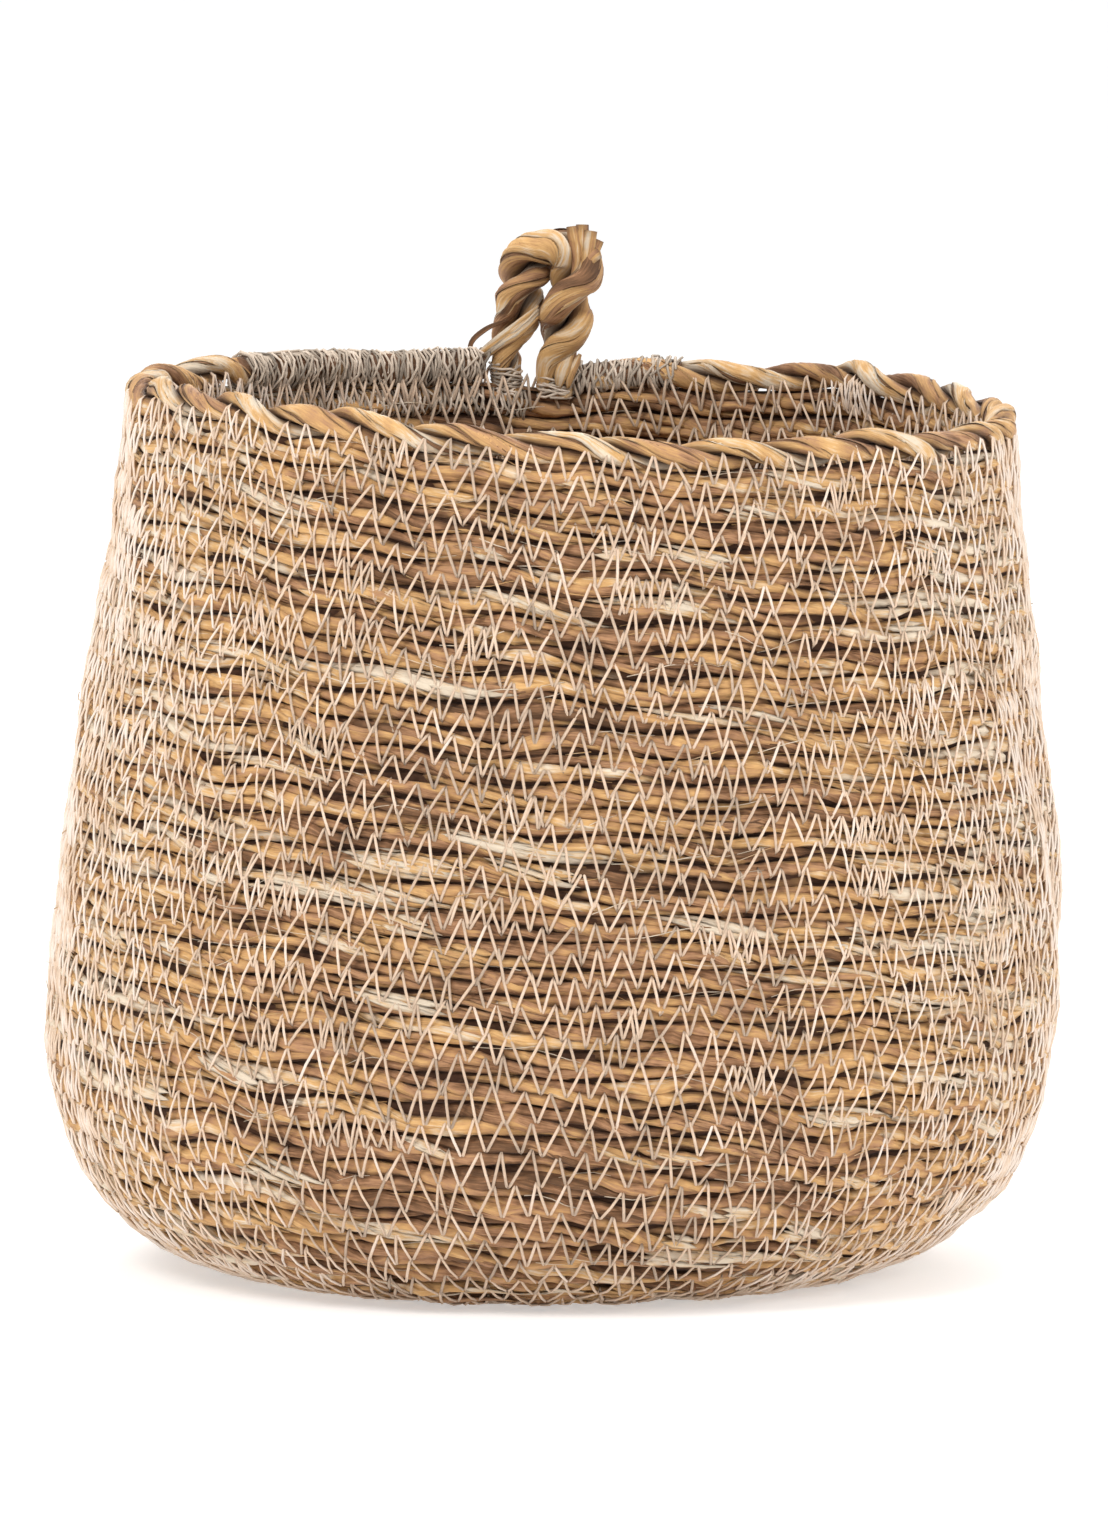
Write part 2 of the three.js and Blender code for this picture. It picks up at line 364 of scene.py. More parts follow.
def wall_point(turn, along, across):
    """A point of the wall: along is measured up the centre line, across outwards from it."""
    angle = TAU / 4 - TAU * turn
    lift = np.maximum(0, along - FLAT_RADIUS) / (RIM_ARC - FLAT_RADIUS)
    rough = np.clip(lift * ROUGHENING, 0, 1)
    tilt = lift * (TILT_RIGHT * np.cos(angle) + TILT_BACK * np.sin(angle))
    swell = sum(size * np.maximum(0, np.cos(angle - at)) ** SWELL_SHARPNESS for at, size in SWELLS)
    place = along + tilt + swell * lift ** 3 + rough * unevenness(angle, along, SAGS)
    out = across + rough * unevenness(angle, along, BULGES)
    radius, height, run, rise = on_profile(place)
    radius = radius + rise * out
    height = height - run * out
    shift = LEAN * (height - BELLY_HEIGHT)
    squeezed = FLOOR_SQUEEZE * np.exp(np.minimum(0, height / FLOOR_SQUEEZE - 1))
    height = np.where(height < FLOOR_SQUEEZE, squeezed, height)
    return np.stack([radius * np.cos(angle) + shift, radius * np.sin(angle), height], -1)


def coil_distance():
    """The rope's length from the middle of the base, for each turn count."""
    turn = np.linspace(0, LAST_TURN + 2, 6000)
    radius = on_profile(lower_edge(turn) + WALL_PITCH / 2)[0]
    step = TAU * radius[:-1] * np.diff(turn)
    return turn, running_total(step)


COIL_TURN, COIL_DISTANCE = coil_distance()


def distance_at(turn):
    return np.interp(turn, COIL_TURN, COIL_DISTANCE)


def turn_at(distance):
    return np.interp(distance, COIL_DISTANCE, COIL_TURN)


def drift(seed, x, wavelength, octaves=3):
    """A smooth random line of about -1 to 1."""
    rng = np.random.default_rng(seed)
    total = np.zeros_like(np.asarray(x, float))
    for octave in range(octaves):
        stretch = wavelength / 2 ** octave * rng.uniform(0.8, 1.25)
        total = total + np.sin(TAU * x / stretch + rng.uniform(0, TAU)) * 0.6 ** octave
    return total / 1.6


def wander(seed, x, size, wavelength, octaves):
    return size * drift(seed, x, wavelength, octaves)


def random_seed(rng):
    return int(rng.integers(1e6))


# ---------------------------------------------------------------- meshes of many tubes

class Fibres:
    """Gathers tubes, each a grid of rings, into one mesh with a UV map and two attributes.

    tone picks a colour from dark stem to pale husk, and gap is how much painted shade lies on what is
    deep in the rope. The UV map is the tube's own width and length, and start shifts it so that no two
    tubes look alike.
    """

    UV_SHIFT = 3.7

    def __init__(self):
        self.points, self.tones, self.gaps = [], [], []
        self.quads, self.quad_uvs, self.caps = [], [], []
        self.count = 0

    def add(self, rings, tone, gap=0.0, start=0.0, width=8.0):
        rows, sides = rings.shape[:2]
        self.points.append(rings.reshape(-1, 3))
        shape = (rows, sides)
        self.tones.append(np.broadcast_to(np.asarray(tone, float), shape).ravel())
        self.gaps.append(np.broadcast_to(np.asarray(gap, float), shape).ravel())
        index = self.count + np.arange(rows * sides).reshape(shape)
        left, right = index, np.roll(index, -1, axis=1)
        faces = np.stack([left[:-1], right[:-1], right[1:], left[1:]], -1)
        self.quads.append(faces.reshape(-1, 4))
        middle = rings.mean(axis=1)
        steps = np.linalg.norm(np.diff(middle, axis=0), axis=1)
        run = start + running_total(steps)
        across = start * self.UV_SHIFT + width * np.arange(sides + 1) / sides
        low, high = np.meshgrid(run[:-1], across[:-1], indexing="ij")
        low_next, high_next = np.meshgrid(run[1:], across[1:], indexing="ij")
        corners = [(high, low), (high_next, low), (high_next, low_next), (high, low_next)]
        uv = np.stack([np.stack(corner, -1) for corner in corners], 2)
        self.quad_uvs.append(uv.reshape(-1, 2))
        self.caps.append(index[0][::-1])
        self.caps.append(index[-1])
        self.count += rows * sides

    def mesh(self, name):
        quads = np.concatenate(self.quads)
        cap_corners = np.concatenate(self.caps)
        cap_sizes = [len(cap) for cap in self.caps]
        corners = np.concatenate([quads.ravel(), cap_corners])
        face_sizes = np.concatenate([np.full(len(quads), 4), cap_sizes])
        starts = running_total(face_sizes[:-1])
        mesh = bpy.data.meshes.new(name)
        mesh.vertices.add(self.count)
        mesh.vertices.foreach_set("co", (np.concatenate(self.points) * MM).ravel())
        mesh.loops.add(len(corners))
        mesh.loops.foreach_set("vertex_index", corners.astype(np.int32))
        mesh.polygons.add(len(face_sizes))
        mesh.polygons.foreach_set("loop_start", starts.astype(np.int32))
        mesh.update(calc_edges=True)
        mesh.shade_smooth()
        uv = mesh.uv_layers.new(name="UVMap")
        flat = np.concatenate([np.concatenate(self.quad_uvs), np.zeros((len(cap_corners), 2))])
        uv.data.foreach_set("uv", (flat * MM).ravel())
        for label, values in (("tone", self.tones), ("gap", self.gaps)):
            layer = mesh.attributes.new(label, "FLOAT", "POINT")
            layer.data.foreach_set("value", np.concatenate(values))
        return mesh

    def finish(self, name, body, slot, material, *nodes):
        piece = bpy.data.objects.new(name, self.mesh(name))
        bpy.context.scene.collection.objects.link(piece)
        piece.data.materials.append(material)
        if nodes:
            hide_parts(*nodes)
        if body:
            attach(piece, body)
        return piece


def ring_angles(sides):
    return np.arange(sides) * TAU / sides


def rings_round(points, normals, radius, sides):
    """Rings of a round tube along points, each ring square to the path."""
    tangents = unit(np.gradient(points, axis=0))
    second = unit(np.cross(tangents, normals))
    first = np.cross(second, tangents)
    angle = ring_angles(sides)
    radius = np.broadcast_to(radius, len(points))[:, None, None]
    cosine, sine = np.cos(angle)[None, :, None], np.sin(angle)[None, :, None]
    return points[:, None] + radius * (first[:, None] * cosine - second[:, None] * sine)


# ---------------------------------------------------------------- materials

def link(tree, source, target):
    tree.links.new(source, target)


def add_node(tree, kind, **settings):
    node = tree.nodes.new(kind)
    for key, value in settings.items():
        setattr(node, key, value)
    return node


def noise(tree, vector, scale, detail, roughness):
    node = tree.nodes.new("ShaderNodeTexNoise")
    node.inputs["Scale"].default_value = scale
    node.inputs["Detail"].default_value = detail
    node.inputs["Roughness"].default_value = roughness
    link(tree, vector, node.inputs["Vector"])
    return node.outputs["Fac"]


def fibre_group():
    """Lengthwise fibres and slow blotches, from the piece's UV map."""
    group = bpy.data.node_groups.new("Fibre grain", "ShaderNodeTree")
    for name in ("Width", "Length"):
        group.interface.new_socket(name, in_out="INPUT", socket_type="NodeSocketFloat")
    for name in ("Streak", "Blotch"):
        group.interface.new_socket(name, in_out="OUTPUT", socket_type="NodeSocketFloat")
    inputs = group.nodes.new("NodeGroupInput")
    outputs = group.nodes.new("NodeGroupOutput")
    uv = add_node(group, "ShaderNodeUVMap", uv_map="UVMap")
    stretch = group.nodes.new("ShaderNodeCombineXYZ")
    link(group, inputs.outputs["Width"], stretch.inputs["X"])
    link(group, inputs.outputs["Length"], stretch.inputs["Y"])
    scaled = add_node(group, "ShaderNodeVectorMath", operation="MULTIPLY")
    link(group, uv.outputs["UV"], scaled.inputs[0])
    link(group, stretch.outputs["Vector"], scaled.inputs[1])
    link(group, noise(group, scaled.outputs["Vector"], 1, 4, 0.65), outputs.inputs["Streak"])
    link(group, noise(group, uv.outputs["UV"], 95, 3, 0.5), outputs.inputs["Blotch"])
    return group


def new_material(name, roughness, specular=0.5, sheen=0.0):
    material = bpy.data.materials.new(name)
    material.use_nodes = True
    tree = material.node_tree
    shader = tree.nodes["Principled BSDF"]
    shader.inputs["Roughness"].default_value = roughness
    shader.inputs["Specular IOR Level"].default_value = specular
    shader.inputs["Sheen Weight"].default_value = sheen
    return material, tree, shader


def grain(tree, width, length_scale):
    node = tree.nodes.new("ShaderNodeGroup")
    node.node_tree = bpy.data.node_groups.get("Fibre grain") or fibre_group()
    node.inputs["Width"].default_value = width
    node.inputs["Length"].default_value = length_scale
    return node


def math_node(tree, operation, first, second):
    node = add_node(tree, "ShaderNodeMath", operation=operation)
    for socket, value in zip(node.inputs, (first, second)):
        if isinstance(value, (int, float)):
            socket.default_value = value
        else:
            link(tree, value, socket)
    return node.outputs[0]


def colour_ramp(tree, factor, stops):
    node = tree.nodes.new("ShaderNodeValToRGB")
    elements = node.color_ramp.elements
    while len(elements) < len(stops):
        elements.new(0.5)
    for element, (place, shade) in zip(elements, stops):
        element.position = place
        element.color = (*shade, 1)
    link(tree, factor, node.inputs["Fac"])
    return node.outputs["Color"]


def bump(tree, height, strength, depth):
    node = tree.nodes.new("ShaderNodeBump")
    node.inputs["Strength"].default_value = strength
    node.inputs["Distance"].default_value = depth
    link(tree, height, node.inputs["Height"])
    return node.outputs["Normal"]


def swing(tree, noise_value, size):
    """A noise value moved to swing evenly round zero."""
    return math_node(tree, "MULTIPLY", math_node(tree, "SUBTRACT", noise_value, 0.5), size)


def attribute(tree, name):
    return add_node(tree, "ShaderNodeAttribute", attribute_name=name).outputs["Fac"]


def plant_material(name, rust_place, roughness, streaks, blotches):
    """Grass and leaves: tone and gap come from the mesh, fibres and blotches from the UV map."""
    material, tree, shader = new_material(name, roughness, specular=0.2, sheen=0.04)
    c = colours()
    stops = (
        (0.0, darkened(c.brown, 0.5)), (0.2, c.brown), (rust_place, c.rust),
        (0.5, c.tan), (0.7, c.gold), (0.95, c.pale),
    )
    fibres = grain(tree, 1500, 90)
    tone = attribute(tree, "tone")
    gap = attribute(tree, "gap")
    streak = swing(tree, fibres.outputs["Streak"], streaks)
    blotch = swing(tree, fibres.outputs["Blotch"], blotches)
    shade = math_node(tree, "ADD", tone, math_node(tree, "ADD", streak, blotch))
    # gap mixes the painted shade colour into the stems' colour
    mix = add_node(tree, "ShaderNodeMix", data_type="RGBA")
    link(tree, gap, mix.inputs[0])
    link(tree, colour_ramp(tree, shade, stops), mix.inputs[6])
    mix.inputs[7].default_value = (*c.shadow, 1)
    link(tree, mix.outputs[2], shader.inputs["Base Color"])
    lumps = math_node(tree, "ADD", fibres.outputs["Streak"], fibres.outputs["Blotch"])
    link(tree, bump(tree, lumps, 1.0, 0.0008), shader.inputs["Normal"])
    return material


def thread_material(name, darker, shade, lighter):
    """Twisted sewing thread: tone comes from the mesh, the ply from the UV map."""
    material, tree, shader = new_material(name, 0.75, specular=0.3, sheen=0.1)
    fibres = grain(tree, 4000, 900)
    factor = math_node(tree, "ADD", attribute(tree, "tone"), swing(tree, fibres.outputs["Streak"], 1.2))
    stops = ((0.0, darker), (0.7, shade), (1.0, lighter))
    link(tree, colour_ramp(tree, factor, stops), shader.inputs["Base Color"])
    link(tree, bump(tree, fibres.outputs["Streak"], 0.5, 0.0003), shader.inputs["Normal"])
    return material


# ---------------------------------------------------------------- the rope

def rope_station(first, last, spacing):
    run = distance_at(last) - distance_at(first)
    turn = np.linspace(first, last, max(3, int(run / spacing) + 1))
    low, high = lower_edge(turn), upper_edge(turn)
    return turn, distance_at(turn), (low + high) / 2, (high - low) / 2


def in_rope(turn, middle, half, radial, sideways):
    """A point in the rope's own section, whose half width is one unit each way."""
    across = radial * ROPE_THICKNESS / 2 * np.clip(half / (WALL_PITCH / 2), 0.6, 1)[:, None]
    along = middle[:, None] + sideways * half[:, None]
    return wall_point(turn[:, None], along, across)


def depth_in_rope(radial):
    """Painted shade where the rope's section lies deep between two rows: 1 in the gap, 0 on its face."""
    return 1 - ramp(np.abs(radial), 0.1, 0.46)


def side_sheen(distance):
    """0 at the basket's front and back, 1 at its left and right, which get painted sheen and look paler.
    """
    return ramp(0.5 - 0.5 * np.cos(2 * TAU * turn_at(distance)), 0.04, 0.8)


def stem_tone(seed, distance):
    """Each stem's tone, with steps where the next stem is spliced in, and 0 to 1 away from a splice."""
    rng = np.random.default_rng(seed)
    breaks = np.cumsum(rng.uniform(*STEM_LENGTHS, STEM_PIECES)) - 300
    levels = rng.choice(STEM_TONES, STEM_PIECES + 1, p=STEM_ODDS)
    levels = levels + rng.uniform(-0.05, 0.05, STEM_PIECES + 1)
    nearest = np.abs(distance[:, None] - breaks[None]).min(axis=1)
    tone = levels[np.searchsorted(breaks, distance)] + 0.07 * drift(seed + 1, distance, 60)
    # The added side term is painted sheen: stems are paler at the left and right sides
    return tone + SIDE_SHEEN_PALING * side_sheen(distance) - 0.05, ramp(nearest, 0, SPLICE_LENGTH)


def add_core(fibres, turn, middle, half):
    """The crushed middle of the rope: it closes the gaps between neighbouring turns, painted as dark
    shade.
    """
    angle = ring_angles(8)[None]
    radial = np.repeat(ROPE_CORE[0] * np.cos(angle), len(turn), 0)
    sideways = np.repeat(ROPE_CORE[1] * np.sin(angle), len(turn), 0)
    fibres.add(in_rope(turn, middle, half, radial, sideways), 0.2, 0.9, width=20)


def add_stems(fibres, first, last):
    turn, distance, middle, half = rope_station(first, last, STATION)
    add_core(fibres, turn, middle, half)
    count = sizes().stems
    lay = sizes().lay / MM
    angle = ring_angles(STEM_SIDES)[None]
    # Painted shade on the side of each stem that faces the rope's core
    inner_side = 0.8 * ramp(-np.cos(angle), -0.4, 0.5)
    thick = 1 + 0.06 * drift(41, distance, 85)
    for stem in range(count):
        seed = 100 * stem
        place = TAU * stem / count + TAU * distance / lay
        for shift, *kind in PLACE_DRIFTS:
            place = place + wander(seed + shift, distance, *kind)
        tone, whole = stem_tone(seed + 5, distance)
        size = (STEM_SIZE + wander(seed + 6, distance, *SIZE_DRIFT)) * (0.3 + 0.7 * whole) * thick
        reach = STEM_REACH + wander(seed + 4, distance, *REACH_DRIFT)
        flat = 1 + 0.25 * drift(seed + 7, distance, 70)
        spin = angle + place[:, None]
        radial = (reach * np.cos(place))[:, None] + (size * flat)[:, None] * np.cos(spin)
        sideways = (reach * np.sin(place))[:, None] + (size / flat)[:, None] * np.sin(spin)
        rings = in_rope(turn, middle, half, radial, sideways)
        # gap: painted shade deep between rows and on the stems' inner sides, weaker under the painted
        # side sheen and wavering along each stem
        gap = np.maximum(depth_in_rope(radial), inner_side)
        clear = SIDE_SHEEN_CLEARING * side_sheen(distance)
        gap = gap * (0.92 - clear - 0.3 * drift(seed + 9, distance, 22, 2))[:, None]
        fibres.add(rings, tone[:, None], gap, start=37.0 * stem + distance[0], width=9)


def add_strip(fibres, start, stop, facing, spread, lift, tone, slant, rng):
    """A flat strip that lies on the rope's face and follows its lay."""
    turn, distance, middle, half = rope_station(turn_at(start), turn_at(stop), HUSK_STATION)
    share = np.linspace(-1, 1, len(turn))
    lay = sizes().lay / MM
    place = facing + (TAU / lay + slant) * (distance - distance.mean())
    taper = np.sqrt(np.clip(1 - np.abs(share) ** rng.uniform(2, 5), 0, 1)) + 0.08
    edge = 1 + 0.2 * drift(random_seed(rng), distance, 16)
    angle = ring_angles(HUSK_SIDES)[None]
    wrinkle = 0.035 * drift(random_seed(rng), distance, 10)
    radius = lift + wrinkle[:, None] + 0.05 * np.sin(angle) * (0.4 + taper[:, None])
    around = place[:, None] - (spread * taper * edge)[:, None] * np.cos(angle)
    radial, sideways = radius * np.cos(around), radius * np.sin(around)
    rings = in_rope(turn, middle, half, radial, sideways)
    # Painted shade deep in the rope and along the strip's edges, where it meets the stems
    rim = 0.35 * np.abs(np.cos(angle)) ** 3
    gap = np.maximum(0.7 * depth_in_rope(radial), rim)
    fibres.add(rings, tone, gap, start=rng.uniform(0, 900), width=12)


def add_husk(fibres, rng, first, last):
    """A dry leaf or husk: a few torn strips side by side."""
    span = rng.choice([rng.uniform(*span) for span in HUSK_SPANS])
    low, high = distance_at(first), distance_at(last)
    start = rng.uniform(low, max(low + 1, high - span))
    facing = rng.choice([0, 0, 0, TAU / 2]) + rng.normal(0, 0.45)
    tone = rng.choice(HUSK_TONES, p=HUSK_ODDS)
    slant = rng.normal(0, 0.014)
    strips = int(rng.integers(2, 5))
    for strip in range(strips):
        begin = start + rng.uniform(0, 0.35) * span
        end = min(high, start + span * rng.uniform(0.6, 1))
        if end - begin < SHORTEST_STRIP:
            continue
        offset = (strip - (strips - 1) / 2) * rng.uniform(0.3, 0.42)
        spread = rng.uniform(0.16, 0.36)
        shade = tone + rng.uniform(-0.12, 0.04)
        lift = rng.uniform(1.0, 1.07)
        add_strip(fibres, begin, end, facing + offset, spread, lift, shade, slant, rng)


def add_hair(fibres, rng, first, last):
    """A loose fibre that stands off the rope."""
    span = rng.uniform(7, 26)
    start = rng.uniform(distance_at(first), distance_at(last) - span)
    turn, distance, middle, half = rope_station(turn_at(start), turn_at(start + span), HAIR_STATION)
    share = np.linspace(0, 1, len(turn))
    facing = rng.choice([0, 0, TAU / 2]) + rng.normal(0, 0.7)
    place = facing + rng.uniform(-0.9, 0.9) * share + 0.2 * np.sin(5 * share + rng.uniform(0, 6))
    out = 1.02 + rng.uniform(0.05, 0.42) * share ** rng.uniform(1, 2.5)
    radial, sideways = (out * np.cos(place))[:, None], (out * np.sin(place))[:, None]
    points = in_rope(turn, middle, half, radial, sideways)[:, 0]
    normals = np.broadcast_to(np.array([0.0, 0.0, 1.0]), points.shape)
    tone = rng.choice([0.98, 0.7])
    fibres.add(rings_round(points, normals, rng.uniform(0.09, 0.2), 3), tone, start=span, width=1)


def rope_lengths():
    """Every spliced length: its CAD node, its first and last turn, and the husks and hairs on a turn."""
    husks = sizes().husks
    for i, (first, last) in enumerate(zip(BASE_SPLICES, BASE_SPLICES[1:]), 1):
        yield f"base_coil_{i:02d}", first, last, husks / 3, BASE_HAIRS
    for i in range(WALL_TURNS):
        yield f"wall_turn_{i + 1:02d}", WALL_START + i, WALL_START + i + 1, husks, WALL_HAIRS


def rope_mesh(first, last, husks_per_turn, hairs_per_turn):
    fibres = Fibres()
    add_stems(fibres, first, last)
    rng = np.random.default_rng(int(first * 10) + 7)
    for _ in range(int(husks_per_turn * (last - first))):
        add_husk(fibres, rng, first, last)
    for _ in range(int(hairs_per_turn * (last - first))):
        add_hair(fibres, rng, first, last)
    return fibres


# ---------------------------------------------------------------- the zigzag

def add_zigzag(fibres, rng, start, stop, leg, reach, face, edge):
    """One row of zigzag thread between two distances along the coil, over the seam edge(turn).

    Each leg runs from the middle of one coil to the middle of the next, and dives at both ends.
    """
    gaps = leg * rng.uniform(*LEG_UNEVENNESS, int((stop - start) / leg) + 2)
    gaps[::2] *= 0.84
    gaps[1::2] *= 1.16
    tips = start + np.cumsum(gaps) - gaps[0]
    tips = tips[tips < stop]
    if len(tips) < 3:
        return
    side = np.where(np.arange(len(tips)) % 2 == 0, 1.0, -1.0)
    height = side * reach * (1 + rng.normal(0, LEG_WOBBLE, len(tips)))
    tips = tips + rng.normal(0, leg * LEG_WOBBLE, len(tips))
    shares = np.array(LEG_SHARES)
    place = tips[:-1, None] + np.diff(tips)[:, None] * shares
    offset = height[:-1, None] + np.diff(height)[:, None] * shares
    lift = np.broadcast_to(LEG_LIFTS, place.shape)
    turn = turn_at(place.ravel())
    along = edge(turn) + offset.ravel()
    across = face * (ROPE_THICKNESS / 2 + lift.ravel())
    points = wall_point(turn, along, across)
    normals = face * unit(wall_point(turn, along, 1.0) - wall_point(turn, along, 0.0))
    radius = sizes().thread / MM / 2
    slow = 0.2 * drift(random_seed(rng), place.ravel(), 90)
    each = rng.normal(0, 0.14, len(place))[:, None] + np.array(LEG_TONES)
    # Tone: random per leg, painted shade and light along each leg, and painted sheen at the sides
    shade = (0.44 + slow + each.ravel() + SIDE_SHEEN_ON_THREAD * side_sheen(place.ravel()))[:, None]
    fibres.add(rings_round(points, normals, radius, 4), shade, start=rng.uniform(0, 500), width=3)


def rim_seam(turn):
    """The last row of stitches just catches the rim's lower edge."""
    return upper_edge(turn) - RIM_SEAM_DEPTH


def thread_rows(first, last, edge, seed):
    """A turn's zigzag on both faces, with patches of denser stitches, most inside the top turns."""
    fibres = Fibres()
    rng = np.random.default_rng(seed)
    start, stop = distance_at(first), distance_at(last)
    leg, reach = sizes().stitch / MM, sizes().zigzag / MM
    for face in (1, -1):
        add_zigzag(fibres, rng, start, stop, leg, reach, face, edge)
        extra = TOP_PATCHES if first >= LAST_TURN - 2 and face < 0 else 0
        for _ in range(int(rng.integers(*PATCHES)) + extra):
            low = rng.uniform(start, stop - 40)
            high = low + rng.uniform(*PATCH_LENGTHS)
            add_zigzag(fibres, rng, low, high, leg * PATCH_LEG, reach * PATCH_REACH, face, edge)
    return fibres


# ---------------------------------------------------------------- the rim and the loop

class Twist:
    """One strand of a two-strand twist: its place round the rope and its own oval section."""

    def __init__(self, place, distance, phase, oval, ring):
        self.place, self.distance, self.phase = place, distance, phase
        self.centre, self.size = oval
        self.thick = ring[:, None]

    def rings(self, angle, reach):
        """Points on the strand's oval, angle and reach as (station, side) arrays."""
        out = (self.centre + self.size[0] * reach * np.cos(angle)) * self.thick
        side = self.size[1] * reach * np.sin(angle) * self.thick
        turned = self.phase[:, None]
        across = out * np.cos(turned) - side * np.sin(turned)
        along = out * np.sin(turned) + side * np.cos(turned)
        return self.place(across, along), across, along

    def deep(self, across, along):
        """Painted shade: 1 inside the twist, where the strands press together, and 0 on its outside."""
        reach = (self.centre + self.size[0]) * self.thick
        return 1 - ramp(np.hypot(across, along) / reach, 0.4, 0.86)


def add_twist_core(fibres, twist, seed):
    angle = np.repeat(ring_angles(CORE_SIDES)[None], len(twist.distance), 0)
    wobble = 0.94 + 0.05 * drift(seed, twist.distance, 30)[:, None]
    points, across, along = twist.rings(angle, wobble)
    # The strand's core is painted dark: tone 0.3 and at least some painted shade, more deep in the twist
    fibres.add(points, 0.3, np.maximum(0.3, twist.deep(across, along)), start=seed, width=20)


def add_twist_leaf(fibres, twist, rng, facing, tone, spread, lift, pale_below):
    """A folded leaf wound in a strand. Its edges stand up a little and get painted shade."""
    distance = twist.distance
    seeds = rng.integers(1, 1e6, 5)
    side = ring_angles(LEAF_SIDES)[None]
    width = spread * (1 + 0.3 * drift(int(seeds[0]), distance, 45))[:, None]
    centre = (facing + 0.45 * drift(int(seeds[1]), distance, 80))[:, None]
    angle = centre - width * np.cos(side)
    fold = 0.045 * np.cos(3 * side + 2.2 * drift(int(seeds[2]), distance, 60)[:, None])
    curl = 0.06 * np.abs(np.cos(side)) ** 2 * drift(int(seeds[3]), distance, 28)[:, None]
    reach = lift + 0.07 * np.sin(side) + fold + curl
    points, across, along = twist.rings(angle, reach)
    # Painted light on the fold's ridges and painted shade in its hollows
    shade = tone + 0.12 * drift(int(seeds[4]), distance, 36)[:, None] + 1.6 * fold
    below = ramp(-along, 0.3, 3.6)
    shade = shade + pale_below * below * (1 - shade)
    # Painted shade along the leaf's edges and deep in the twist
    edge = 0.5 * np.abs(np.cos(side)) ** 6
    gap = np.maximum(0.9 * twist.deep(across, along), edge)
    fibres.add(points, shade, gap, start=rng.uniform(0, 900), width=16)


def strand_mesh(twist, seed, tones, spread, pale_below=0.0):
    """A strand of a twist: its core and one folded leaf for each tone."""
    fibres = Fibres()
    add_twist_core(fibres, twist, seed)
    rng = np.random.default_rng(seed)
    for i, tone in enumerate(tones):
        facing = TAU * i / len(tones) + rng.uniform(-0.25, 0.25)
        lift = rng.uniform(0.99, 1.06)
        width = spread * rng.uniform(0.85, 1.2)
        add_twist_leaf(fibres, twist, rng, facing, tone, width, lift, pale_below)
    return fibres


def rim_place(turn):
    def place(across, along):
        base = upper_edge(turn)[:, None] + RIM_ROPE_RADIUS - RIM_SINK
        return wall_point(turn[:, None], base + along, across)
    return place


def rim_strand(phase_start, seed, tones, pale_below):
    first, last = LAST_TURN + RIM_FROM, LAST_TURN + RIM_TO
    run = distance_at(last) - distance_at(first)
    turn = np.linspace(first, last, int(run / 2.0))
    distance = distance_at(turn)
    twists = RIM_TWISTS_PER_TURN * (turn - first)
    phase = phase_start + TAU * twists + 0.4 * drift(77, distance, 120)
    ring = 0.93 + 0.08 * drift(78, distance, 95)
    twist = Twist(rim_place(turn), distance, phase, RIM_OVAL, ring)
    return strand_mesh(twist, seed, tones, 1.15, pale_below)


def add_winding(fibres, place, share, radius, pitch, run, rng, slant):
    """Thread wound round a core. place turns (share, across, along) into points."""
    winds = run / pitch
    angle = TAU * winds * share
    seed = random_seed(rng)
    lumps = 1 + 0.06 * drift(seed, share * run, 26)
    reach = radius * lumps + rng.normal(0, 0.16, len(share))
    shift = (slant * np.sin(angle) + rng.normal(0, pitch * 0.22, len(share))) / run
    points = place(share + shift, reach * np.cos(angle), reach * np.sin(angle))
    normals = unit(points - place(share + shift, 0 * reach, 0 * reach))
    tone = 0.48 + 0.4 * drift(seed + 1, share * run, 12)[:, None]
    rings = rings_round(points, normals, WINDING_THREAD, 4)
    fibres.add(rings, tone, start=rng.uniform(0, 900), width=3)


def wrap(first, last, centre, radius, layers, seed):
    """Thread wound carelessly round a stretch of the coil, about the line centre(turn)."""
    fibres = Fibres()
    rng = np.random.default_rng(seed)
    run = distance_at(last) - distance_at(first)

    def place(share, across, along):
        turn = first + (last - first) * share
        return wall_point(turn, centre(turn) + along, across)

    for pitch, slant, extra in layers:
        share = np.linspace(0.01, 0.99, int(run / pitch * WINDING_STEPS))
        add_winding(fibres, place, share, radius + extra, pitch, run, rng, slant)
    return fibres


def wrap_core(first, last, radius, seed):
    """The husk under a winding, painted dark as the shade between the windings."""
    fibres = Fibres()
    turn = np.linspace(first, last, 50)
    distance = distance_at(turn)
    share = np.linspace(0, 1, len(turn))
    swell = 0.75 + 0.25 * np.sqrt(np.sin(math.pi * share))
    angle = ring_angles(16)[None]
    fold = 1 + 0.05 * np.cos(4 * angle + 2 * drift(seed, distance, 50)[:, None])
    reach = (radius - 0.5) * swell[:, None] * fold * (1 + 0.05 * drift(seed + 1, distance, 26))[:, None]
    base = upper_edge(turn)[:, None] + radius - CORE_SINK
    rings = wall_point(turn[:, None], base + reach * np.sin(angle), reach * np.cos(angle))
    fibres.add(rings, 0.3 + 0.25 * drift(seed + 2, distance, 22)[:, None], 0.7, width=30)
    return fibres


